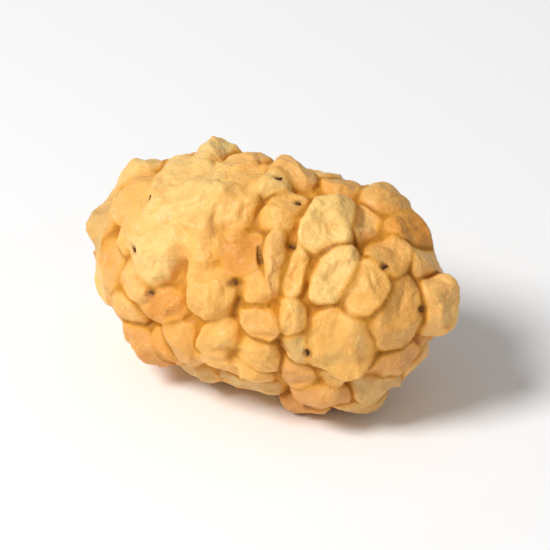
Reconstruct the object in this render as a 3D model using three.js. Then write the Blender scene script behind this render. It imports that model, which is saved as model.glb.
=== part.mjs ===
// A dried white mulberry, lying on its side: plump drupelets grown together round one core.
// Millimetres, +Z up. X runs along the berry, its blunt stalk end at -X and its tip at +X,
// and the origin is under the middle of the berry, on the surface that it rests on.
import * as THREE from "three";

// The envelope that the drupelets' crowns reach, measured from the middle of the core.
const HALF_LENGTH = 10.8;
const HALF_WIDTH = 6.52;
const RISE = 6.7; // middle to top
const DROP = 6.7; // middle to underside, before the berry settles on it
const SETTLED = 0.6; // how much of the drop is lost where the fruit lay while it dried
const FLAT_DEPTH = 0.25; // how much of a crown is pressed flat against the surface
const CORE_SHARE = 0.86; // size of the core inside the envelope

// Drupelets with a place of their own, one row each:
// along the axis and angle round it (0 at the top, 90 at the front), where the crown is;
// length along the axis and girth round it; how proud it stands; turn in its own plane.
const FULL = [
  // blunt end, top and front
  [-8.9, -16, 2.9, 2.7, 0.4, 0],
  [-9.6, 52, 2.2, 3.6, 0.15, 0],
  [-6.6, 34, 3.1, 3.1, -0.1, 0],
  [-7.8, 86, 3.2, 2.8, -0.2, 0],
  [-5.4, 8, 2.9, 3.4, 0.1, 20],
  [-4.7, -26, 2.4, 3.0, 0.6, 0],
  [-4.4, 57, 3.1, 2.9, 0.15, 30],
  [-2.7, 27, 3.2, 3.2, 0.1, 0],
  [-1.9, 48, 2.6, 2.6, -0.1, 0],
  [-2.4, -16, 2.2, 3.0, 0.1, 0],
  [-4.9, 37, 1.8, 1.8, -0.3, 0],
  [-3.2, 3, 1.9, 2.0, -0.25, 0],
  // middle
  [-0.4, 18, 2.0, 3.2, -0.2, 0],
  [-0.6, 71, 2.9, 3.0, 0.15, 0],
  [-3.6, 90, 3.1, 2.3, -0.1, 0],
  [0.8, 49, 2.5, 2.6, -0.25, 0],
  [0.5, -16, 2.6, 2.8, 0.2, 0],
  [1.9, 18, 2.0, 2.9, -0.1, 0],
  [2.75, 47, 1.4, 3.4, -0.2, 22],
  [4.15, 45, 1.5, 3.4, -0.25, 10],
  [4.5, 73, 1.9, 2.2, -0.1, 0],
  // tip, top and front
  [4.4, 12, 2.8, 3.6, 0.25, 18],
  [3.3, -25, 2.6, 2.4, 0.1, 0],
  [5.5, -36, 3.0, 3.2, 0.85, 0],
  [5.8, -8, 2.5, 2.9, -0.1, 0],
  [7.3, -32, 2.6, 3.2, 0.6, 0],
  [6.2, 41, 2.2, 3.1, 0.3, 0],
  [7.7, 43, 2.2, 2.9, 0.25, 0],
  [8.1, 6, 2.5, 3.2, 0.0, 0],
  [9.2, -26, 2.3, 3.2, 0.25, 0],
  [9.4, 52, 3.0, 3.6, 0.1, 0],
  [10.5, -10, 2.7, 2.5, 0.95, 0],
  [7.2, 86, 3.4, 3.6, 0.2, 0],
  // lower front
  [2.8, 81, 2.4, 1.9, 0.1, 0],
  [2.8, 100, 2.3, 2.5, 0.2, 0],
  [0.3, 95, 2.2, 2.2, 0.1, 0],
  [-2.1, 107, 2.5, 2.6, 0.15, 0],
  [-5.3, 128, 2.8, 2.8, 0.7, 0],
  [-2.3, 138, 3.2, 2.2, -0.1, 0],
  [1.2, 134, 3.2, 2.2, -0.1, 0],
  [4.8, 112, 2.0, 2.7, 0.0, 0],
  [5.6, 132, 3.0, 2.4, 0.3, 0],
  [10.4, 150, 2.4, 2.4, -1.0, 0],
  [10.2, -140, 2.6, 2.6, -0.9, 0],
  [9.3, 118, 3.2, 2.3, -0.2, 0],
  [8.2, 144, 2.6, 2.6, 0.25, 0],
  [3.8, 154, 2.8, 2.4, 0.4, 0],
  [6.6, 156, 2.8, 2.4, 0.45, 0],
];
// The rest of the skin fills up in two passes: full drupelets, then small ones in the gaps.
// clear is how far a new crown keeps from the edge of the drupelets so far, and sunk is how
// far in it lies.
const PASSES = [
  { clear: 1.0, size: 2.75, sunk: 0 },
  { clear: 0.45, size: 2.1, sunk: 0.1 },
];
const SIZE_RANGE = [0.92, 1.12]; // a filling drupelet's length and girth, as shares of its size
const PROUD_RANGE = [-0.15, 0.2];
const TRIALS = 420; // places tried in each pass
const GOLDEN_ANGLE = 137.508;
const DEPTH = 3.1; // a drupelet's full depth, crown to root
const SPREAD = 1.23; // full width over the width that shows, because neighbours overlap
const FACETS = 17; // subdivisions of the icosahedron behind the skin

const radians = THREE.MathUtils.degToRad;
// A number from 0 to 1 that is always the same for the same seed.
const scatter = (seed) => {
  const wave = Math.sin(seed * 12.9898) * 43758.5453;
  return wave - Math.floor(wave);
};
const pick = (seed, [low, high]) => low + (high - low) * scatter(seed);

// The point of the envelope at a place along the axis and an angle round it.
function envelopePoint(along, around) {
  const share = Math.sqrt(Math.max(0, 1 - (along / HALF_LENGTH) ** 2));
  const up = Math.cos(radians(around));
  const height = up > 0 ? RISE : DROP;
  return new THREE.Vector3(along, -Math.sin(radians(around)) * HALF_WIDTH * share, up * height * share);
}

function envelopeNormal(point) {
  const height = point.z > 0 ? RISE : DROP;
  return new THREE.Vector3(
    point.x / HALF_LENGTH ** 2,
    point.y / HALF_WIDTH ** 2,
    point.z / height ** 2,
  ).normalize();
}

function drupelet(along, around, length, girth, proud, turn) {
  return { crown: envelopePoint(along, around), length, girth, proud, turn };
}

// Tries places on a golden-angle spiral, and keeps each that is clear of the drupelets so far.
function fillGaps(drupelets) {
  PASSES.forEach(({ clear, size, sunk }, pass) => {
    for (let trial = 0; trial < TRIALS; trial++) {
      const along = HALF_LENGTH * (1 - (2 * (trial + 0.5)) / TRIALS);
      const crown = envelopePoint(along, trial * GOLDEN_ANGLE);
      if (drupelets.some((d) => d.crown.distanceTo(crown) < (d.length + d.girth) / 4 + clear)) continue;
      const seed = trial + pass * TRIALS;
      drupelets.push({
        crown,
        length: size * pick(seed + 0.1, SIZE_RANGE),
        girth: size * pick(seed + 0.2, SIZE_RANGE),
        proud: pick(seed + 0.3, PROUD_RANGE) - sunk,
        turn: 180 * scatter(seed + 0.4),
      });
    }
  });
  return drupelets;
}

// Places a unit ball as the drupelet's ellipsoid, with its depth along the skin's normal.
function drupeletMatrix({ crown, length, girth, proud, turn }) {
  const outward = envelopeNormal(crown);
  const alongSkin = new THREE.Vector3(1, 0, 0).addScaledVector(outward, -outward.x).normalize();
  alongSkin.applyAxisAngle(outward, radians(turn));
  const roundSkin = outward.clone().cross(alongSkin);
  const centre = crown.clone().addScaledVector(outward, proud - DEPTH / 2);
  const floor = -DROP + SETTLED;
  const half = [(length * SPREAD) / 2, (girth * SPREAD) / 2, DEPTH / 2];
  const reach = Math.hypot(alongSkin.z * half[0], roundSkin.z * half[1], outward.z * half[2]);
  centre.z = Math.max(centre.z, floor - FLAT_DEPTH + reach);
  return new THREE.Matrix4()
    .makeBasis(alongSkin, roundSkin, outward)
    .scale(new THREE.Vector3(...half))
    .setPosition(centre);
}

// How far out along a ray, in lengths of the ray, the drupelet's far side is.
function farSide(origin, ray, toBall) {
  const start = origin.clone().applyMatrix4(toBall);
  const step = origin.clone().add(ray).applyMatrix4(toBall).sub(start);
  const a = step.lengthSq();
  const b = start.dot(step);
  const root = b * b - a * (start.lengthSq() - 1);
  return root > 0 ? (Math.sqrt(root) - b) / a : 0;
}

// Every point of a fine ball is pushed out to the furthest drupelet on its ray. The rays
// start on the axis and go out square to the envelope.
function mulberryGeometry() {
  const toBalls = fillGaps(FULL.map((row) => drupelet(...row))).map((one) => drupeletMatrix(one).invert());
  const geometry = new THREE.IcosahedronGeometry(1, FACETS);
  geometry.scale(HALF_LENGTH, HALF_WIDTH, DROP);
  const { position } = geometry.attributes;
  const floor = -DROP + SETTLED;
  const spineShare = 1 - (HALF_WIDTH / HALF_LENGTH) ** 2;
  for (let i = 0; i < position.count; i++) {
    const point = new THREE.Vector3().fromBufferAttribute(position, i);
    const origin = new THREE.Vector3(point.x * spineShare, 0, 0);
    const ray = point.sub(origin);
    const far = toBalls.map((toBall) => farSide(origin, ray, toBall));
    let reach = Math.max(CORE_SHARE, ...far);
    if (ray.z * reach < floor) reach = floor / ray.z;
    position.setXYZ(i, ...origin.addScaledVector(ray, reach));
  }
  geometry.computeBoundingBox();
  const { min, max } = geometry.boundingBox;
  return geometry.translate(-(min.x + max.x) / 2, -(min.y + max.y) / 2, -min.z);
}

const skin = new THREE.MeshStandardMaterial({ color: 0xe8b872, roughness: 0.6, metalness: 0 });
const mulberry = new THREE.Mesh(mulberryGeometry(), skin);
mulberry.name = "mulberry";

const group = new THREE.Group();
group.add(mulberry);
export default group;
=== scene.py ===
"""A dried white mulberry on a plain pale floor.

The drupelets are laid out as in the CAD part. A distance grid joins them into one skin,
which then gets its facets, folds, wrinkles, pits and crack, and its colours from drupelet
to drupelet, with painted shade in its creases.
Shapes are worked out in millimetres round the middle of the berry's core, and the finished
pieces are put into the frame in metres.
"""
import itertools
import math

import bpy
import numpy as np
import openvdb
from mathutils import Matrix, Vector
from mathutils.bvhtree import BVHTree


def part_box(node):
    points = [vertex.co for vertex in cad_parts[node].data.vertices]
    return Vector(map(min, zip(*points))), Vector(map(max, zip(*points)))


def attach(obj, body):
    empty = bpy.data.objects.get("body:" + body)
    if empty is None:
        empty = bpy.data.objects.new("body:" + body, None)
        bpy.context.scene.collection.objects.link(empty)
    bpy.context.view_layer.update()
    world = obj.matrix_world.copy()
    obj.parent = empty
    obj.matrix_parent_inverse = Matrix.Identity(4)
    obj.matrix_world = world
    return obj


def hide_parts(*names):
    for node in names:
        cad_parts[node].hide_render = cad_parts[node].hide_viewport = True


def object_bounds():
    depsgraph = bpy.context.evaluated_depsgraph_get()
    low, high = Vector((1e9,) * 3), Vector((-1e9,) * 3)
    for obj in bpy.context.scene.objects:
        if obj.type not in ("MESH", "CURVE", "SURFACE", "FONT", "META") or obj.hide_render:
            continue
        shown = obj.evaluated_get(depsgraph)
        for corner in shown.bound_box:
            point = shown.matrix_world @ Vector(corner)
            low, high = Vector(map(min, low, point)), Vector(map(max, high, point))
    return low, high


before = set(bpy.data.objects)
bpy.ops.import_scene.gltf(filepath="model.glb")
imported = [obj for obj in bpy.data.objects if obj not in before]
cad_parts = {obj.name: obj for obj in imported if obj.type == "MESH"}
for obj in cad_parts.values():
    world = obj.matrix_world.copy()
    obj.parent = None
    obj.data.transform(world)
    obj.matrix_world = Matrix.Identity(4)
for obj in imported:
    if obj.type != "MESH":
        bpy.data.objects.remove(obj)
cad_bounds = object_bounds()

MM = 0.001

# ---------------------------------------------------------------- the drupelets' layout

HALF_LENGTH = 10.8
HALF_WIDTH = 6.52
RISE = 6.7  # middle to top
DROP = 6.7  # middle to underside, before the berry settles on it
SETTLED = 0.6
FLAT_DEPTH = 0.25
CORE_SHARE = 0.86
FLOOR = SETTLED - DROP  # the height of the underside, from the middle

PALE = (0.90, 0.60, 0.215)
CREAM = (0.90, 0.57, 0.19)
PEACH = (0.89, 0.49, 0.15)
GOLD = (0.88, 0.465, 0.115)
TAN = (0.79, 0.40, 0.10)
AMBER = (0.83, 0.37, 0.07)
# a khaki tone; on the lower rows and one rim it is partly painted shade
OLIVE_AND_SHADE = (0.68, 0.41, 0.14)
# a rose tone for the lower rows, darkened as painted shade of the underside
ROSE_AND_SHADE = (0.76, 0.36, 0.10)
RUST = (0.72, 0.30, 0.05)

# Drupelets with a place of their own, one row each:
# along the axis and angle round it (0 at the top, 90 at the front), where the crown is;
# length along the axis and girth round it; how proud it stands; turn in its own plane; colour.
FULL = [
    # blunt end, top and front
    (-8.9, -16, 2.9, 2.7, 0.4, 0, CREAM),
    # the olive here is painted shade from a neighbouring berry on this rim
    (-9.6, 52, 2.2, 3.6, 0.15, 0, OLIVE_AND_SHADE),
    (-6.6, 34, 3.1, 3.1, -0.1, 0, GOLD),
    (-7.8, 86, 3.2, 2.8, -0.2, 0, TAN),
    (-5.4, 8, 2.9, 3.4, 0.1, 20, PALE),
    (-4.7, -26, 2.4, 3.0, 0.6, 0, PALE),
    (-4.4, 57, 3.1, 2.9, 0.15, 30, PALE),
    (-2.7, 27, 3.2, 3.2, 0.1, 0, CREAM),
    (-1.9, 48, 2.6, 2.6, -0.1, 0, GOLD),
    (-2.4, -16, 2.2, 3.0, 0.1, 0, PEACH),
    (-4.9, 37, 1.8, 1.8, -0.3, 0, CREAM),
    (-3.2, 3, 1.9, 2.0, -0.25, 0, CREAM),
    # middle
    (-0.4, 18, 2.0, 3.2, -0.2, 0, GOLD),
    (-0.6, 71, 2.9, 3.0, 0.15, 0, GOLD),
    (-3.6, 90, 3.1, 2.3, -0.1, 0, RUST),
    (0.8, 49, 2.5, 2.6, -0.25, 0, RUST),
    (0.5, -16, 2.6, 2.8, 0.2, 0, PEACH),
    (1.9, 18, 2.0, 2.9, -0.1, 0, GOLD),
    (2.75, 47, 1.4, 3.4, -0.2, 22, PEACH),
    (4.15, 45, 1.5, 3.4, -0.25, 10, GOLD),
    (4.5, 73, 1.9, 2.2, -0.1, 0, GOLD),
    # tip, top and front
    (4.4, 12, 2.8, 3.6, 0.25, 18, CREAM),
    (3.3, -25, 2.6, 2.4, 0.1, 0, TAN),
    (5.5, -36, 3.0, 3.2, 0.85, 0, TAN),
    (5.8, -8, 2.5, 2.9, -0.1, 0, PEACH),
    (7.3, -32, 2.6, 3.2, 0.6, 0, RUST),
    (6.2, 41, 2.2, 3.1, 0.3, 0, CREAM),
    (7.7, 43, 2.2, 2.9, 0.25, 0, GOLD),
    (8.1, 6, 2.5, 3.2, 0.0, 0, TAN),
    (9.2, -26, 2.3, 3.2, 0.25, 0, PEACH),
    (9.4, 52, 3.0, 3.6, 0.1, 0, TAN),
    (10.5, -10, 2.7, 2.5, 0.95, 0, PEACH),
    (7.2, 86, 3.4, 3.6, 0.2, 0, GOLD),
    # lower front, whose darker rose and olive tones are partly painted shade of the underside
    (2.8, 81, 2.4, 1.9, 0.1, 0, TAN),
    (2.8, 100, 2.3, 2.5, 0.2, 0, GOLD),
    (0.3, 95, 2.2, 2.2, 0.1, 0, GOLD),
    (-2.1, 107, 2.5, 2.6, 0.15, 0, TAN),
    # darker rose here is painted shade cast by a neighbouring berry
    (-5.3, 128, 2.8, 2.8, 0.7, 0, ROSE_AND_SHADE),
    (-2.3, 138, 3.2, 2.2, -0.1, 0, OLIVE_AND_SHADE),
    (1.2, 134, 3.2, 2.2, -0.1, 0, OLIVE_AND_SHADE),
    (4.8, 112, 2.0, 2.7, 0.0, 0, ROSE_AND_SHADE),
    (5.6, 132, 3.0, 2.4, 0.3, 0, ROSE_AND_SHADE),
    (10.4, 150, 2.4, 2.4, -1.0, 0, ROSE_AND_SHADE),
    (10.2, -140, 2.6, 2.6, -0.9, 0, OLIVE_AND_SHADE),
    (9.3, 118, 3.2, 2.3, -0.2, 0, ROSE_AND_SHADE),
    (8.2, 144, 2.6, 2.6, 0.25, 0, OLIVE_AND_SHADE),
    (3.8, 154, 2.8, 2.4, 0.4, 0, ROSE_AND_SHADE),
    (6.6, 156, 2.8, 2.4, 0.45, 0, OLIVE_AND_SHADE),
]
# The rest of the skin fills up in two passes: full drupelets, then small ones in the gaps.
# clear is how far a new crown keeps from the edge of the drupelets so far, and sunk is how
# far in it lies.
PASSES = [
    {"clear": 1.0, "size": 2.75, "sunk": 0},
    {"clear": 0.45, "size": 2.1, "sunk": 0.1},
]
SIZE_RANGE = (0.92, 1.12)  # a filling drupelet's length and girth, as shares of its size
PROUD_RANGE = (-0.15, 0.2)
FILL_COLOURS = [CREAM, PEACH, GOLD, GOLD, AMBER, GOLD, PEACH, CREAM, OLIVE_AND_SHADE]
TRIALS = 420  # places tried in each pass
GOLDEN_ANGLE = 137.508
DEPTH = 3.1  # a drupelet's full depth, crown to root
SPREAD = 1.23  # full width over the width that shows, because neighbours overlap
SQUARENESS = 2.2  # 2 is a plain ellipsoid, and more is blockier


def scatter(seed):
    """A number from 0 to 1 that is always the same for the same seed."""
    wave = math.sin(seed * 12.9898) * 43758.5453
    return wave - math.floor(wave)


def pick(seed, low, high):
    """A number between two limits that is always the same for the same seed."""
    return low + (high - low) * scatter(seed)


def unit(vector):
    return vector / np.linalg.norm(vector)


def envelope_point(along, around):
    share = math.sqrt(max(0.0, 1 - (along / HALF_LENGTH) ** 2))
    up = math.cos(math.radians(around))
    height = RISE if up > 0 else DROP
    return np.array([along, -math.sin(math.radians(around)) * HALF_WIDTH * share, up * height * share])


def envelope_normal(point):
    height = RISE if point[2] > 0 else DROP
    return unit(point / np.array([HALF_LENGTH, HALF_WIDTH, height]) ** 2)


class Drupelet:
    """An ellipsoid whose depth runs along the skin's normal. The rows of axes are its directions."""

    def __init__(self, crown, length, girth, proud, turn, colour):
        outward = envelope_normal(crown)
        along_skin = unit(np.array([1.0, 0, 0]) - outward[0] * outward)
        round_skin = np.cross(outward, along_skin)
        cos, sin = math.cos(math.radians(turn)), math.sin(math.radians(turn))
        turned = along_skin * cos + round_skin * sin
        self.crown = crown
        self.width = (length + girth) / 2
        self.colour = np.array(colour)
        self.axes = np.array([turned, np.cross(outward, turned), outward])
        self.half = np.array([length * SPREAD, girth * SPREAD, DEPTH]) / 2
        self.centre = crown + outward * (proud - DEPTH / 2)
        self.reach = np.linalg.norm(self.axes * self.half[:, None], axis=0)
        self.centre[2] = max(self.centre[2], FLOOR - FLAT_DEPTH + self.reach[2])

    def local(self, points):
        """Points as shares of the drupelet's half sizes, from its centre."""
        return (points - self.centre) @ self.axes.T / self.half

    def distance(self, points):
        """About how far outside the drupelet each point is, below 0 inside."""
        local = np.abs(self.local(points)) + 1e-6
        size = (local**SQUARENESS).sum(axis=-1) ** (1 / SQUARENESS)
        slope = (local / size[..., None]) ** (SQUARENESS - 1) / self.half
        return (size - 1) / np.linalg.norm(slope, axis=-1)


def lay_out():
    """The drupelets that are listed, and those that fill the gaps between them."""
    drupelets = [Drupelet(envelope_point(row[0], row[1]), *row[2:]) for row in FULL]
    for step, fill in enumerate(PASSES):
        for trial in range(TRIALS):
            along = HALF_LENGTH * (1 - (2 * (trial + 0.5)) / TRIALS)
            crown = envelope_point(along, trial * GOLDEN_ANGLE)
            if any(np.linalg.norm(one.crown - crown) < one.width / 2 + fill["clear"] for one in drupelets):
                continue
            seed = trial + step * TRIALS
            drupelets.append(Drupelet(
                crown,
                fill["size"] * pick(seed + 0.1, *SIZE_RANGE),
                fill["size"] * pick(seed + 0.2, *SIZE_RANGE),
                pick(seed + 0.3, *PROUD_RANGE) - fill["sunk"],
                180 * scatter(seed + 0.4),
                FILL_COLOURS[int(scatter(seed + 0.5) * len(FILL_COLOURS))],
            ))
    return drupelets


# ---------------------------------------------------------------- noise


def lattice_slopes(cell, seed):
    """A slope from -1 to 1 along each axis for each lattice point, from the mixed bits of its place."""
    mixed = (cell @ np.array([73856093, 19349663, 83492791]) + seed * 2654435761) & 0xFFFFFFFF
    mixed = ((mixed ^ (mixed >> 13)) * 1274126177) & 0xFFFFFFFF
    mixed ^= mixed >> 15
    return np.stack([(mixed >> shift & 1023) / 511.5 - 1 for shift in (0, 10, 20)], axis=1)


def noise(points, size, seed):
    """Smooth noise, from about -1 to 1, with lumps about as wide as size."""
    spots = points / size
    cell = np.floor(spots).astype(np.int64)
    part = spots - cell
    fade = part**3 * (part * (part * 6 - 15) + 10)
    total = np.zeros(len(spots))
    for corner in itertools.product((0, 1), repeat=3):
        weight = np.where(corner, fade, 1 - fade).prod(axis=1)
        total += weight * (lattice_slopes(cell + corner, seed) * (part - corner)).sum(axis=1)
    return total * 1.5


def ease(values, low, high):
    """0 below low, 1 above high, and a smooth step between them."""
    share = np.clip((values - low) / (high - low), 0, 1)
    return share * share * (3 - 2 * share)


# ---------------------------------------------------------------- one skin over the drupelets

VOXEL = 0.118
BAND = 0.7  # how far round each drupelet its distance is worked out
CREASE_FILL = (0.1, 0.62)  # drupelets this near each other in depth run together
FUSED_FILL = 0.8  # the same where the skins have grown together
FUSED_AT = envelope_point(-4.2, 30)
FUSED_REACH = (2.0, 5.6)
CREASE_CUT = 0.08  # how much deeper than where the drupelets meet the sharpest creases go
CREASE_WIDTH = 0.15
SHARP_SIDE = (0.0, 3.5)  # towards the tip, the drupelets stand apart
SHARPNESS = 0.85
SOFT_SIZE = 2.6  # width of the patches with filled creases
CREASE_LINE = 0.14  # how far the painted shade of a crease line runs up the sides of a crease
HOLLOW_REACH = 0.55  # how far round a point the skin's hollowness is measured
HOLLOW_RANGE = (-0.15, 0.2)  # from the most exposed skin to the deepest, over which the painted shade grows


def fused(points):
    """1 where the skins have grown together, and 0 where each drupelet stands on its own."""
    return 1 - ease(np.linalg.norm(points - FUSED_AT, axis=-1), *FUSED_REACH)


def joined(points, nearest, second):
    """The drupelets' skin as one: soft where a crease is filled, and cut deeper where it is sharp."""
    gap = second - nearest
    softness = ease(noise(points, SOFT_SIZE, 71), -0.45, 0.55)
    softness *= 1 - SHARPNESS * ease(points[:, 0], *SHARP_SIDE)
    fill = CREASE_FILL[0] + (CREASE_FILL[1] - CREASE_FILL[0]) * softness
    fill += (FUSED_FILL - fill) * fused(points)
    cut = CREASE_CUT * (1 - softness) * (1 - fused(points)) * np.exp(-((gap / CREASE_WIDTH) ** 2))
    return nearest - fill / 4 * np.clip(1 - gap / fill, 0, 1) ** 2 + cut


def skin_grid(drupelets):
    """Distance to the skin on a grid, with the place of the grid's first corner."""
    low = np.min([one.centre - one.reach for one in drupelets], axis=0) - BAND
    high = np.max([one.centre + one.reach for one in drupelets], axis=0) + BAND
    shape = np.ceil((high - low) / VOXEL).astype(int)
    ticks = [low[k] + VOXEL * np.arange(shape[k]) for k in range(3)]
    nearest = np.full(shape, BAND, np.float32)
    second = np.full(shape, 2 * BAND, np.float32)
    for one in drupelets:
        first = np.maximum(np.floor((one.centre - one.reach - BAND - low) / VOXEL).astype(int), 0)
        last = np.ceil((one.centre + one.reach + BAND - low) / VOXEL).astype(int)
        window = tuple(slice(a, b) for a, b in zip(first, last))
        points = np.stack(np.meshgrid(*[t[w] for t, w in zip(ticks, window)], indexing="ij"), axis=-1)
        distance = one.distance(points)
        second[window] = np.minimum(second[window], np.maximum(nearest[window], distance))
        nearest[window] = np.minimum(nearest[window], distance)
    points = np.stack(np.meshgrid(*ticks, indexing="ij"), axis=-1)
    skin = nearest
    near = np.abs(nearest) < BAND
    skin[near] = joined(points[near], nearest[near], second[near])
    core_half = np.array([HALF_LENGTH, HALF_WIDTH, DROP]) * CORE_SHARE
    core = (np.linalg.norm(points / core_half, axis=-1) - 1) * core_half.min()
    skin = np.minimum(skin, core)
    skin = np.maximum(skin, FLOOR - points[..., 2])
    return np.clip(skin, -BAND, BAND).astype(np.float32), low


def running_mean(values, axis, half):
    """The mean over 2 * half + 1 grid steps along an axis."""
    padded = np.pad(values, [(half + 1, half) if k == axis else (0, 0) for k in range(3)], mode="edge")
    total = np.cumsum(padded, axis=axis, dtype=np.float64)
    span = 2 * half + 1
    ahead = np.take(total, range(span, total.shape[axis]), axis=axis)
    behind = np.take(total, range(total.shape[axis] - span), axis=axis)
    return (ahead - behind) / span


def sample(values, spots):
    """Grid values between the grid's corners, at spots in grid steps."""
    cell = np.clip(np.floor(spots).astype(int), 0, np.array(values.shape) - 2)
    part = spots - cell
    total = np.zeros(len(spots))
    for corner in itertools.product((0, 1), repeat=3):
        weight = np.where(corner, part, 1 - part).prod(axis=1)
        total += weight * values[tuple((cell + corner).T)]
    return total


def skin_mesh(drupelets):
    """The skin's points in millimetres, its four-sided faces, and how hollow it is at each point."""
    values, low = skin_grid(drupelets)
    grid = openvdb.FloatGrid(BAND)
    grid.copyFromArray(values)
    spots, quads = grid.convertToQuads(0.0)
    spots = spots.astype(float)
    around = values
    for axis in range(3):
        around = running_mean(around, axis, round(HOLLOW_REACH / VOXEL))
    return spots * VOXEL + low, quads, -sample(around, spots)


# ---------------------------------------------------------------- relief

TONE_BLUR = (0.14, 0.6)  # how far a drupelet's colour runs into the next one's: apart, and fused


def neighbours(drupelets, points):
    """For each point: its own drupelet, how much farther the next one is, and the colour between them."""
    distances = np.array([one.distance(points) for one in drupelets], np.float32)
    owner = distances.argmin(axis=0)
    nearest, second = np.partition(distances, 1, axis=0)[:2]
    blur = TONE_BLUR[0] + (TONE_BLUR[1] - TONE_BLUR[0]) * fused(points)
    shares = np.exp((nearest - distances) / blur)
    tones = shares.T @ np.array([one.colour for one in drupelets]) / shares.sum(axis=0)[:, None]
    return owner, second - nearest, tones


FACETS = 4  # how many flats each drupelet was pressed into
FACET_TILT = (12, 62)  # how far from the crown a flat faces
FACET_LEVEL = (0.82, 0.98)  # how far out a flat lies, as a share of the drupelet's half size
FACET_ROUNDING = 0.09
FLATS_LOST = 0.7  # how much of the flats and the folds is lost where the skins are fused
FOLDS_LOST = 0.8
RAY_DEPTH = 0.12  # of the small folds that run down from the crown
FOLD_SHARE = 0.3  # how many drupelets have a fold across the crown
FOLD_DEPTH = 0.11
FOLD_WIDTH = 0.1  # as a share of the drupelet's half size
CROWN_GAP = (0.1, 0.9)  # how much farther the next drupelet is where a crown begins, and is full
EDGE_GAP = (0, 0.3)  # the same for the flats
LUMPS = [(3.4, 0.3, 11), (1.9, 0.3, 21), (0.9, 0.14, 41)]  # width, height and seed
BUMPS = [(1.7, 0.32, 51), (0.8, 0.14, 52)]  # the same, where the skins are fused
HOLLOW_SIZE = 1.3  # of the shallow hollows of the dried skin
HOLLOW_DEPTH = 0.16
GRAIN_SIZE = 0.4
GRAIN_HEIGHT = 0.035
# Width of the cells between wrinkles, depth, width of a wrinkle in noise units, and seed.
WRINKLES = [(1.1, 0.05, 0.12, 91), (0.6, 0.05, 0.14, 92), (0.42, 0.03, 0.2, 93)]
WRINKLE_WARP = 0.3
IN_CREASE = 0.35  # how much of the hollows, wrinkles and grain is left at the bottom of a crease


def pressed(one, index, ball):
    """How far the flats of one drupelet move its skin in."""
    moves = np.zeros_like(ball)
    for k in range(FACETS):
        seed = index * 3.1 + k * 7.7
        tilt = math.radians(pick(seed + 0.6, *FACET_TILT))
        turn = math.tau * (k / FACETS + 0.3 * scatter(seed + 0.7))
        face = np.array([math.sin(tilt) * math.cos(turn), math.sin(tilt) * math.sin(turn), math.cos(tilt)])
        over = ball @ face - pick(seed + 0.8, *FACET_LEVEL)
        over = (over + np.sqrt(over**2 + FACET_ROUNDING**2)) / 2
        moves -= (over[:, None] * face * one.half) @ one.axes
    return moves


def folds(index, ball, crown):
    """How deep the folds of one drupelet are: rays down its sides, and maybe one across its crown."""
    outward = np.maximum(np.linalg.norm(ball[:, :2], axis=1, keepdims=True), 0.05)
    rays = np.column_stack([ball[:, :2] / outward * 1.8, ball[:, 2] * 0.5 + index])
    depth = RAY_DEPTH * np.abs(noise(rays, 0.6, 5)) * crown * ease(1 - ball[:, 2], 0.03, 0.3)
    if scatter(index * 5.3 + 0.9) < FOLD_SHARE:
        turn = math.tau * scatter(index * 4.1 + 0.3)
        across = ball[:, 0] * math.cos(turn) + ball[:, 1] * math.sin(turn)
        place = pick(index * 6.7 + 0.2, -0.4, 0.4)
        bent = across - place + 0.3 * noise(ball, 0.7, index)
        reach = ease(noise(ball, 0.9, index + 50), -0.3, 0.3)
        depth += FOLD_DEPTH * np.exp(-((bent / FOLD_WIDTH) ** 2)) * crown * reach
    return depth


def wrinkles(points):
    """How deep the fine wrinkles of the dried skin are, which come in patches."""
    warp = WRINKLE_WARP * np.column_stack([noise(points, 1.3, 81 + k) for k in range(3)])
    depth = np.zeros(len(points))
    for size, deep, width, seed in WRINKLES:
        patch = ease(noise(points, 2.6 * size, seed + 10), -0.35, 0.3)
        depth += deep * np.exp(-((noise(points + warp, size, seed) / width) ** 2)) * patch
    return depth


def bumps(points):
    """How far the skin bulges where it has grown together."""
    return sum(height * noise(points, size, seed) for size, height, seed in BUMPS) * fused(points)


def relief(drupelets, points, normals, owner, gap):
    """The points moved into the dried skin's flats, folds, wrinkles and lumps."""
    moved = points.copy()
    crown = ease(gap, *CROWN_GAP)
    off_crease = ease(gap, *EDGE_GAP) * (1 - FLATS_LOST * fused(points))
    loose = 1 - FOLDS_LOST * fused(points)
    for index, one in enumerate(drupelets):
        mine = owner == index
        if not mine.any():
            continue
        local = one.local(points[mine])
        ball = local / np.linalg.norm(local, axis=1, keepdims=True)
        moved[mine] += pressed(one, index, ball) * off_crease[mine][:, None]
        moved[mine] -= normals[mine] * (folds(index, ball, crown[mine]) * loose[mine])[:, None]
    for size, height, seed in LUMPS:
        lumps = np.column_stack([noise(points, size, seed + k) for k in range(3)])
        moved += height * lumps
    shrunk = HOLLOW_DEPTH * np.abs(noise(points, HOLLOW_SIZE, 61)) + wrinkles(points)
    shrunk -= GRAIN_HEIGHT * noise(points, GRAIN_SIZE, 31)
    moved -= normals * (shrunk * (IN_CREASE + (1 - IN_CREASE) * crown) - bumps(points))[:, None]
    moved[:, 2] = np.maximum(moved[:, 2], FLOOR)
    return moved


# Pits that hold what is left of the stigmas: along the axis, and angle round it.
PITS = [
    (-5.9, 30), (2.4, 9), (3.3, 34), (8.0, 23), (10.1, 36), (3.9, 128), (4.4, 144), (6.2, 156),
    (8.4, 146), (-0.9, 120), (0.9, 63), (-4.4, 84), (-5.6, 62),
]
PIT_WIDTH = 0.24
PIT_DEPTH = 0.2
PIT_SHARE = 0.35  # how many of the drupelets that aren't listed have one
PIT_STRAY = 0.35  # how far from the crown theirs may be
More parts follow.
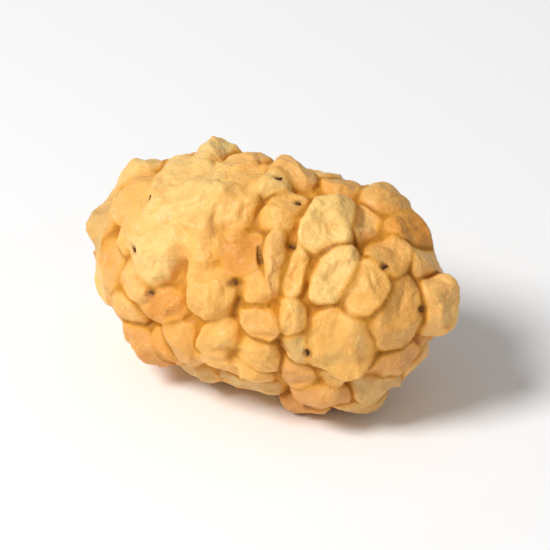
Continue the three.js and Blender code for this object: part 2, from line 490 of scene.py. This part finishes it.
# A crack where two drupelets shrank apart.
CRACK_ENDS = ((1.6, 41), (2.1, 49))
CRACK_WIDTH = 0.11
CRACK_DEPTH = 0.3
MARK_REACH = 1.6  # how far above or below the envelope a pit or a crack marks the skin
MARK_STAIN = 1.1  # width of its dark part over its own width


def pit_places(drupelets):
    """Where the pits are, on the envelope."""
    places = [envelope_point(*pit) for pit in PITS]
    for index, one in enumerate(drupelets[len(FULL):]):
        if scatter(index * 3.7 + 0.15) < PIT_SHARE:
            off = np.array([pick(index + shift, -PIT_STRAY, PIT_STRAY) for shift in (0.25, 0.35)])
            places.append(one.crown + off @ one.axes[:2])
    return places


def dig(points, start, end, width, depth):
    """How far each point sinks into a groove from start to end, and how dark it is there."""
    run = end - start
    length = max(run @ run, 1e-9)
    share = np.clip((points - start) @ run / length, 0, 1)
    off = points - start - share[:, None] * run
    outward = envelope_normal((start + end) / 2)
    depth_off = off @ outward
    aside = np.linalg.norm(off - depth_off[:, None] * outward, axis=1)
    near = np.abs(depth_off) < MARK_REACH
    dug = depth * np.exp(-((aside / width) ** 2))
    stain = np.exp(-((aside / width / MARK_STAIN) ** 4))
    return dug * near, stain * near


def dig_marks(drupelets, points, normals):
    """The points sunk into the pits and the crack, and how dark each is."""
    sink = np.zeros(len(points))
    dark = np.zeros(len(points))
    grooves = [(place, place, PIT_WIDTH, PIT_DEPTH) for place in pit_places(drupelets)]
    start, end = (envelope_point(*spot) for spot in CRACK_ENDS)
    grooves.append((start, end, CRACK_WIDTH, CRACK_DEPTH))
    for groove in grooves:
        deeper, darker = dig(points, *groove)
        sink = np.maximum(sink, deeper)
        dark = np.maximum(dark, darker)
    return points - normals * sink[:, None], dark


# ---------------------------------------------------------------- meshes and attributes


def new_piece(name, points, faces, material):
    mesh = bpy.data.meshes.new(name)
    mesh.from_pydata(points.tolist(), [], [tuple(face) for face in faces])
    mesh.polygons.foreach_set("use_smooth", [True] * len(mesh.polygons))
    mesh.materials.append(material)
    piece = bpy.data.objects.new(name, mesh)
    bpy.context.scene.collection.objects.link(piece)
    return piece


def point_normals(mesh):
    normals = np.empty(len(mesh.vertices) * 3, np.float32)
    mesh.vertex_normals.foreach_get("vector", normals)
    return normals.reshape(-1, 3).astype(float)


def set_points(mesh, points):
    mesh.vertices.foreach_set("co", points.astype(np.float32).ravel())
    mesh.update()


# ---------------------------------------------------------------- materials


class Tree:
    """A material's node tree, with short calls to add and join nodes."""

    def __init__(self, name):
        self.material = bpy.data.materials.new(name)
        self.material.use_nodes = True
        self.nodes = self.material.node_tree.nodes
        self.links = self.material.node_tree.links
        self.shader = self.nodes["Principled BSDF"]

    def add(self, kind, inputs=None, **settings):
        node = self.nodes.new("ShaderNode" + kind)
        for key, value in settings.items():
            setattr(node, key, value)
        for key, value in (inputs or {}).items():
            self.put(node.inputs[key], value)
        return node

    def put(self, socket, value):
        if isinstance(value, bpy.types.NodeSocket):
            self.links.new(value, socket)
        else:
            socket.default_value = value

    def attribute(self, name, output="Fac"):
        return self.add("Attribute", attribute_name=name).outputs[output]

    def noise(self, size, detail=2.0):
        """Noise from 0 to 1 with lumps about size metres wide."""
        where = self.add("TexCoord").outputs["Object"]
        return self.add("TexNoise", {"Vector": where, "Scale": 1 / size, "Detail": detail}).outputs["Fac"]

    def remap(self, value, low, high, to_low=0.0, to_high=1.0):
        settings = {"Value": value, "From Min": low, "From Max": high, "To Min": to_low, "To Max": to_high}
        return self.add("MapRange", settings, interpolation_type="SMOOTHSTEP").outputs["Result"]

    def mix(self, share, first, second):
        node = self.add("Mix", data_type="RGBA")
        self.put(node.inputs["Factor"], share)
        self.put(node.inputs[6], first)
        self.put(node.inputs[7], second)
        return node.outputs[2]

    def math(self, operation, first, second=0.0):
        node = self.add("Math", operation=operation)
        self.put(node.inputs[0], first)
        self.put(node.inputs[1], second)
        return node.outputs[0]

    def set_shader(self, inputs):
        for name, value in inputs.items():
            self.put(self.shader.inputs[name], value)

    def lines(self, size, width):
        """Curved lines about size metres apart, 1 on a line and 0 off it."""
        off = self.math("ABSOLUTE", self.math("SUBTRACT", self.noise(size, 1), 0.5))
        return self.remap(off, 0, width, 1, 0)


# What mottles the skin: how wide the patches are in millimetres, their detail, the noise at
# which they begin and are full, how much of the colour shows, and the colour.
MOTTLING = [
    (2.0, 3, 0.48, 0.72, 0.35, (0.93, 0.64, 0.22, 1)),  # pale patches
    (1.1, 3, 0.5, 0.78, 0.45, (0.80, 0.34, 0.05, 1)),  # orange patches
    (0.28, 2, 0.56, 0.74, 0.3, (0.78, 0.33, 0.05, 1)),  # freckles
    (0.2, 1, 0.64, 0.76, 0.3, (0.96, 0.72, 0.34, 1)),  # pale specks
]
# painted shade: the drupelets' sides, the deep creases and thin crease lines darker and more orange
CREASE_SIDE_SHADE = (0.78, 0.355, 0.045, 1)
DEEP_CREASE_SHADE = (0.56, 0.22, 0.012, 1)
CREASE_LINE_SHADE = (0.34, 0.12, 0.012, 1)
MARKS = (0.24, 0.085, 0.012, 1)  # in the pits and the crack
FINE_BUMPS = [(0.4, 0.13, 0.6), (0.14, 0.05, 0.8)]  # width and height in millimetres, and strength
STIGMA_DARK = (0.06, 0.023, 0.008, 1)
STIGMA_LIGHT = (0.2, 0.085, 0.025, 1)


def skin_colour(tree, hollow):
    """Each drupelet's own tone, mottled, with painted shade darker and more orange towards the creases."""
    colour = tree.attribute("tone", "Color")
    for size, detail, low, high, share, tint in MOTTLING:
        patches = tree.remap(tree.noise(size * MM, detail), low, high, 0, share)
        colour = tree.mix(patches, colour, tint)
    # painted shade, darker and more orange the more hollow the skin, and a thin dark line in the deepest
    # creases
    colour = tree.mix(tree.remap(hollow, 0.2, 0.75, 0, 0.7), colour, CREASE_SIDE_SHADE)
    colour = tree.mix(tree.remap(hollow, 0.6, 0.92, 0, 0.85), colour, DEEP_CREASE_SHADE)
    line = tree.math("MULTIPLY", tree.attribute("crease"), tree.remap(hollow, 0.35, 0.8, 0, 0.75))
    line = tree.math("MULTIPLY", line, tree.remap(tree.noise(2.4 * MM), 0.42, 0.6, 0.1, 1))
    colour = tree.mix(line, colour, CREASE_LINE_SHADE)
    return tree.mix(tree.math("MULTIPLY", tree.attribute("dark"), 0.75), colour, MARKS)


def skin_bump(tree):
    """Fine wrinkles in patches, small lumps and grain, as one normal."""
    patches = tree.remap(tree.noise(1.5 * MM), 0.4, 0.62)
    creased = tree.math("MULTIPLY", tree.lines(0.5 * MM, 0.07), patches)
    settings = {"Height": creased, "Distance": 0.03 * MM, "Strength": 0.45}
    bump = tree.add("Bump", settings, invert=True)
    for size, height, strength in FINE_BUMPS:
        settings = {"Height": tree.noise(size * MM, 3), "Distance": height * MM, "Strength": strength}
        bump = tree.add("Bump", {**settings, "Normal": bump.outputs["Normal"]})
    return bump.outputs["Normal"]


def skin_material():
    tree = Tree("mulberry_skin")
    hollow = tree.attribute("hollow")
    satin = tree.remap(tree.noise(0.6 * MM), 0.3, 0.7, 0.36, 0.55)
    tree.set_shader({
        "Base Color": skin_colour(tree, hollow),
        "Roughness": tree.math("ADD", satin, tree.remap(hollow, 0.3, 0.8, 0, 0.3)),
        "Specular IOR Level": 0.3,
        "Specular Tint": (1.0, 0.88, 0.68, 1),
        "Coat Weight": 0.12,
        "Coat Roughness": 0.28,
        "Subsurface Weight": 0.3,
        "Subsurface Radius": (1.0, 0.42, 0.12),
        "Subsurface Scale": 0.35 * MM,
        "Normal": skin_bump(tree),
    })
    return tree.material


def stigma_material():
    tree = Tree("dry_stigma")
    tint = tree.remap(tree.noise(0.3 * MM), 0.35, 0.65)
    tree.set_shader({
        "Base Color": tree.mix(tint, STIGMA_DARK, STIGMA_LIGHT),
        "Roughness": 0.7,
        "Specular IOR Level": 0.2,
    })
    return tree.material


def floor_material():
    tree = Tree("pale_floor")
    tree.set_shader({"Base Color": (0.98, 0.98, 0.98, 1), "Roughness": 0.9, "Specular IOR Level": 0.1})
    return tree.material


# ---------------------------------------------------------------- the fruit

FUSED_SHADE = 0.45  # how much less painted shade the fused skin gets
BUMP_SHADE = 0.5  # how much a bump, in millimetres, lightens the painted shade


def add_layer(mesh, name, values):
    """A number or a colour for each point, which the materials read by name."""
    if values.ndim == 2:
        values = np.column_stack([values, np.ones(len(values))])
        layer, key = mesh.attributes.new(name, "FLOAT_COLOR", "POINT"), "color"
    else:
        layer, key = mesh.attributes.new(name, "FLOAT", "POINT"), "value"
    layer.data.foreach_set(key, values.astype(np.float32).ravel())


def make_fruit(drupelets):
    points, quads, hollow = skin_mesh(drupelets)
    cad_low, cad_high = (np.array(corner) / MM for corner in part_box("mulberry"))
    low, high = points.min(axis=0), points.max(axis=0)
    to_frame = np.append(((cad_low + cad_high) / 2 - (low + high) / 2)[:2], cad_low[2] - low[2])
    owner, gap, tones = neighbours(drupelets, points)
    fruit = new_piece("mulberry_fruit", points, quads, skin_material())
    normals = point_normals(fruit.data)
    if (normals * (points - points.mean(axis=0))).sum() < 0:
        fruit.data.flip_normals()
        normals = -normals
    moved, dark = dig_marks(drupelets, relief(drupelets, points, normals, owner, gap), normals)
    moved[:, 2] = np.maximum(moved[:, 2], FLOOR)
    set_points(fruit.data, (moved + to_frame) * MM)
    add_layer(fruit.data, "tone", tones)
    # hollow holds the painted shade: deeper in hollows, less where fused, lighter on bumps
    shade = ease(hollow, *HOLLOW_RANGE) * (1 - FUSED_SHADE * fused(points)) - BUMP_SHADE * bumps(points)
    add_layer(fruit.data, "hollow", shade)
    # crease marks where a thin line of painted shade may fall between drupelets
    add_layer(fruit.data, "crease", np.exp(-((gap / CREASE_LINE) ** 2)) * (1 - fused(points)))
    add_layer(fruit.data, "dark", dark)
    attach(fruit, "root")
    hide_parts("mulberry")
    return fruit, to_frame


STIGMA_SIDES = 6
STIGMA_STEPS = 6
STIGMA_LENGTH = (0.1, 0.24)
STIGMA_WIDTH = (0.2, 0.09)  # at the root, and at the tip
STIGMA_ARCH = 0.07  # how far its middle lifts off the skin
STIGMA_ROOT = 0.04  # how far its root goes into the skin
SEARCH = 2.0  # how far outside the envelope the search for the skin starts


def tube(path, widths):
    """A round tube along a path, closed at both ends, as points and faces."""
    points, faces = [], []
    for step, (spot, width) in enumerate(zip(path, widths)):
        ahead = unit(path[min(step + 1, len(path) - 1)] - path[max(step - 1, 0)])
        side = unit(np.cross(ahead, (0.3, 0.5, 0.8)))
        over = np.cross(ahead, side)
        for turn in np.arange(STIGMA_SIDES) * math.tau / STIGMA_SIDES:
            points.append(spot + width / 2 * (math.cos(turn) * side + math.sin(turn) * over))
    for step in range(len(path) - 1):
        for k in range(STIGMA_SIDES):
            a, b = step * STIGMA_SIDES + k, step * STIGMA_SIDES + (k + 1) % STIGMA_SIDES
            faces.append((a, b, b + STIGMA_SIDES, a + STIGMA_SIDES))
    faces.append(tuple(range(STIGMA_SIDES))[::-1])
    faces.append(tuple(range(len(points) - STIGMA_SIDES, len(points))))
    return points, faces


def make_stigmas(fruit, drupelets, to_frame):
    """The dried two-armed threads that stay in the pits, bent down onto the skin."""
    mesh = fruit.data
    tree = BVHTree.FromPolygons([v.co for v in mesh.vertices], [p.vertices for p in mesh.polygons])
    points, faces = [], []
    for index, place in enumerate(pit_places(drupelets)):
        outward = envelope_normal(place)
        start = (place + to_frame + SEARCH * outward) * MM
        hit, normal, _, _ = tree.ray_cast(Vector(start), Vector(-outward))
        if hit is None:
            continue
        root, normal = np.array(hit) / MM, np.array(normal)
        for arm in range(2):
            seed = index * 2.7 + arm * 0.37
            turn = math.tau * (scatter(index + 0.45) + arm * pick(seed, 0.4, 0.6))
            flat = unit(np.cross(normal, (math.cos(turn), math.sin(turn), 0.2)))
            length = pick(seed + 0.1, *STIGMA_LENGTH)
            curl = np.cross(normal, flat) * (scatter(seed + 0.2) - 0.5) * length
            path = []
            for share in np.linspace(0, 1, STIGMA_STEPS):
                lift = STIGMA_ARCH * math.sin(share * math.pi * 0.9) - STIGMA_ROOT * (1 - share)
                spot = root + flat * length * share + curl * share**2
                skin, out, _, _ = tree.find_nearest(Vector(spot * MM))
                path.append(np.array(skin) / MM + np.array(out) * lift)
            widths = np.linspace(*STIGMA_WIDTH, STIGMA_STEPS)
            more, joins = tube(path, widths)
            faces += [tuple(k + len(points) for k in face) for face in joins]
            points += more
    stigmas = new_piece("stigma_remnants", np.array(points) * MM, faces, stigma_material())
    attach(stigmas, "root")


# ---------------------------------------------------------------- floor, lights and camera

VIEW_AZIMUTH = 30
VIEW_ELEVATION = 32
LENS = 300.0
VIEW_WIDTH = 29.5 * MM  # how much the picture takes in at the berry
KEY_AZIMUTH = VIEW_AZIMUTH - 57
KEY_ELEVATION = 50
KEY_DISTANCE = 0.35
KEY_SIZE = 0.14
KEY_POWER = 1.07
SKY_STRENGTH = 0.36
FLOOR_SIDE = 4.0


def direction(azimuth, elevation):
    """From the object towards a place, on the frame's own azimuth and elevation."""
    a, e = math.radians(azimuth), math.radians(elevation)
    return Vector((math.sin(a) * math.cos(e), -math.cos(a) * math.cos(e), math.sin(e)))


def make_camera(middle):
    data = bpy.data.cameras.new("camera")
    data.lens = LENS
    camera = bpy.data.objects.new("camera", data)
    bpy.context.scene.collection.objects.link(camera)
    back = direction(VIEW_AZIMUTH, VIEW_ELEVATION)
    distance = VIEW_WIDTH * LENS / data.sensor_width
    camera.location = middle + back * distance
    camera.rotation_euler = (-back).to_track_quat("-Z", "Y").to_euler()
    data.clip_start = 0.01
    data.clip_end = 10
    bpy.context.scene.camera = camera


def add_key_light(middle):
    """A round softbox to the left of the camera."""
    data = bpy.data.lights.new("key", "AREA")
    data.shape = "DISK"
    data.size = KEY_SIZE
    data.energy = KEY_POWER
    light = bpy.data.objects.new("key", data)
    bpy.context.scene.collection.objects.link(light)
    towards = direction(KEY_AZIMUTH, KEY_ELEVATION)
    light.location = middle + towards * KEY_DISTANCE
    light.rotation_euler = (-towards).to_track_quat("-Z", "Y").to_euler()


def make_stage(middle):
    half = FLOOR_SIDE / 2
    corners = np.array([(-half, -half, 0), (half, -half, 0), (half, half, 0), (-half, half, 0)])
    new_piece("floor", corners, [(0, 1, 2, 3)], floor_material())
    world = bpy.data.worlds.new("studio")
    world.use_nodes = True
    sky = world.node_tree.nodes["Background"]
    sky.inputs["Color"].default_value = (1, 1, 1, 1)
    sky.inputs["Strength"].default_value = SKY_STRENGTH
    bpy.context.scene.world = world
    add_key_light(middle)
    bpy.context.scene.view_settings.view_transform = "Standard"


middle = (cad_bounds[0] + cad_bounds[1]) / 2
make_camera(middle)
make_stage(middle)
drupelets = lay_out()
fruit, to_frame = make_fruit(drupelets)
make_stigmas(fruit, drupelets, to_frame)
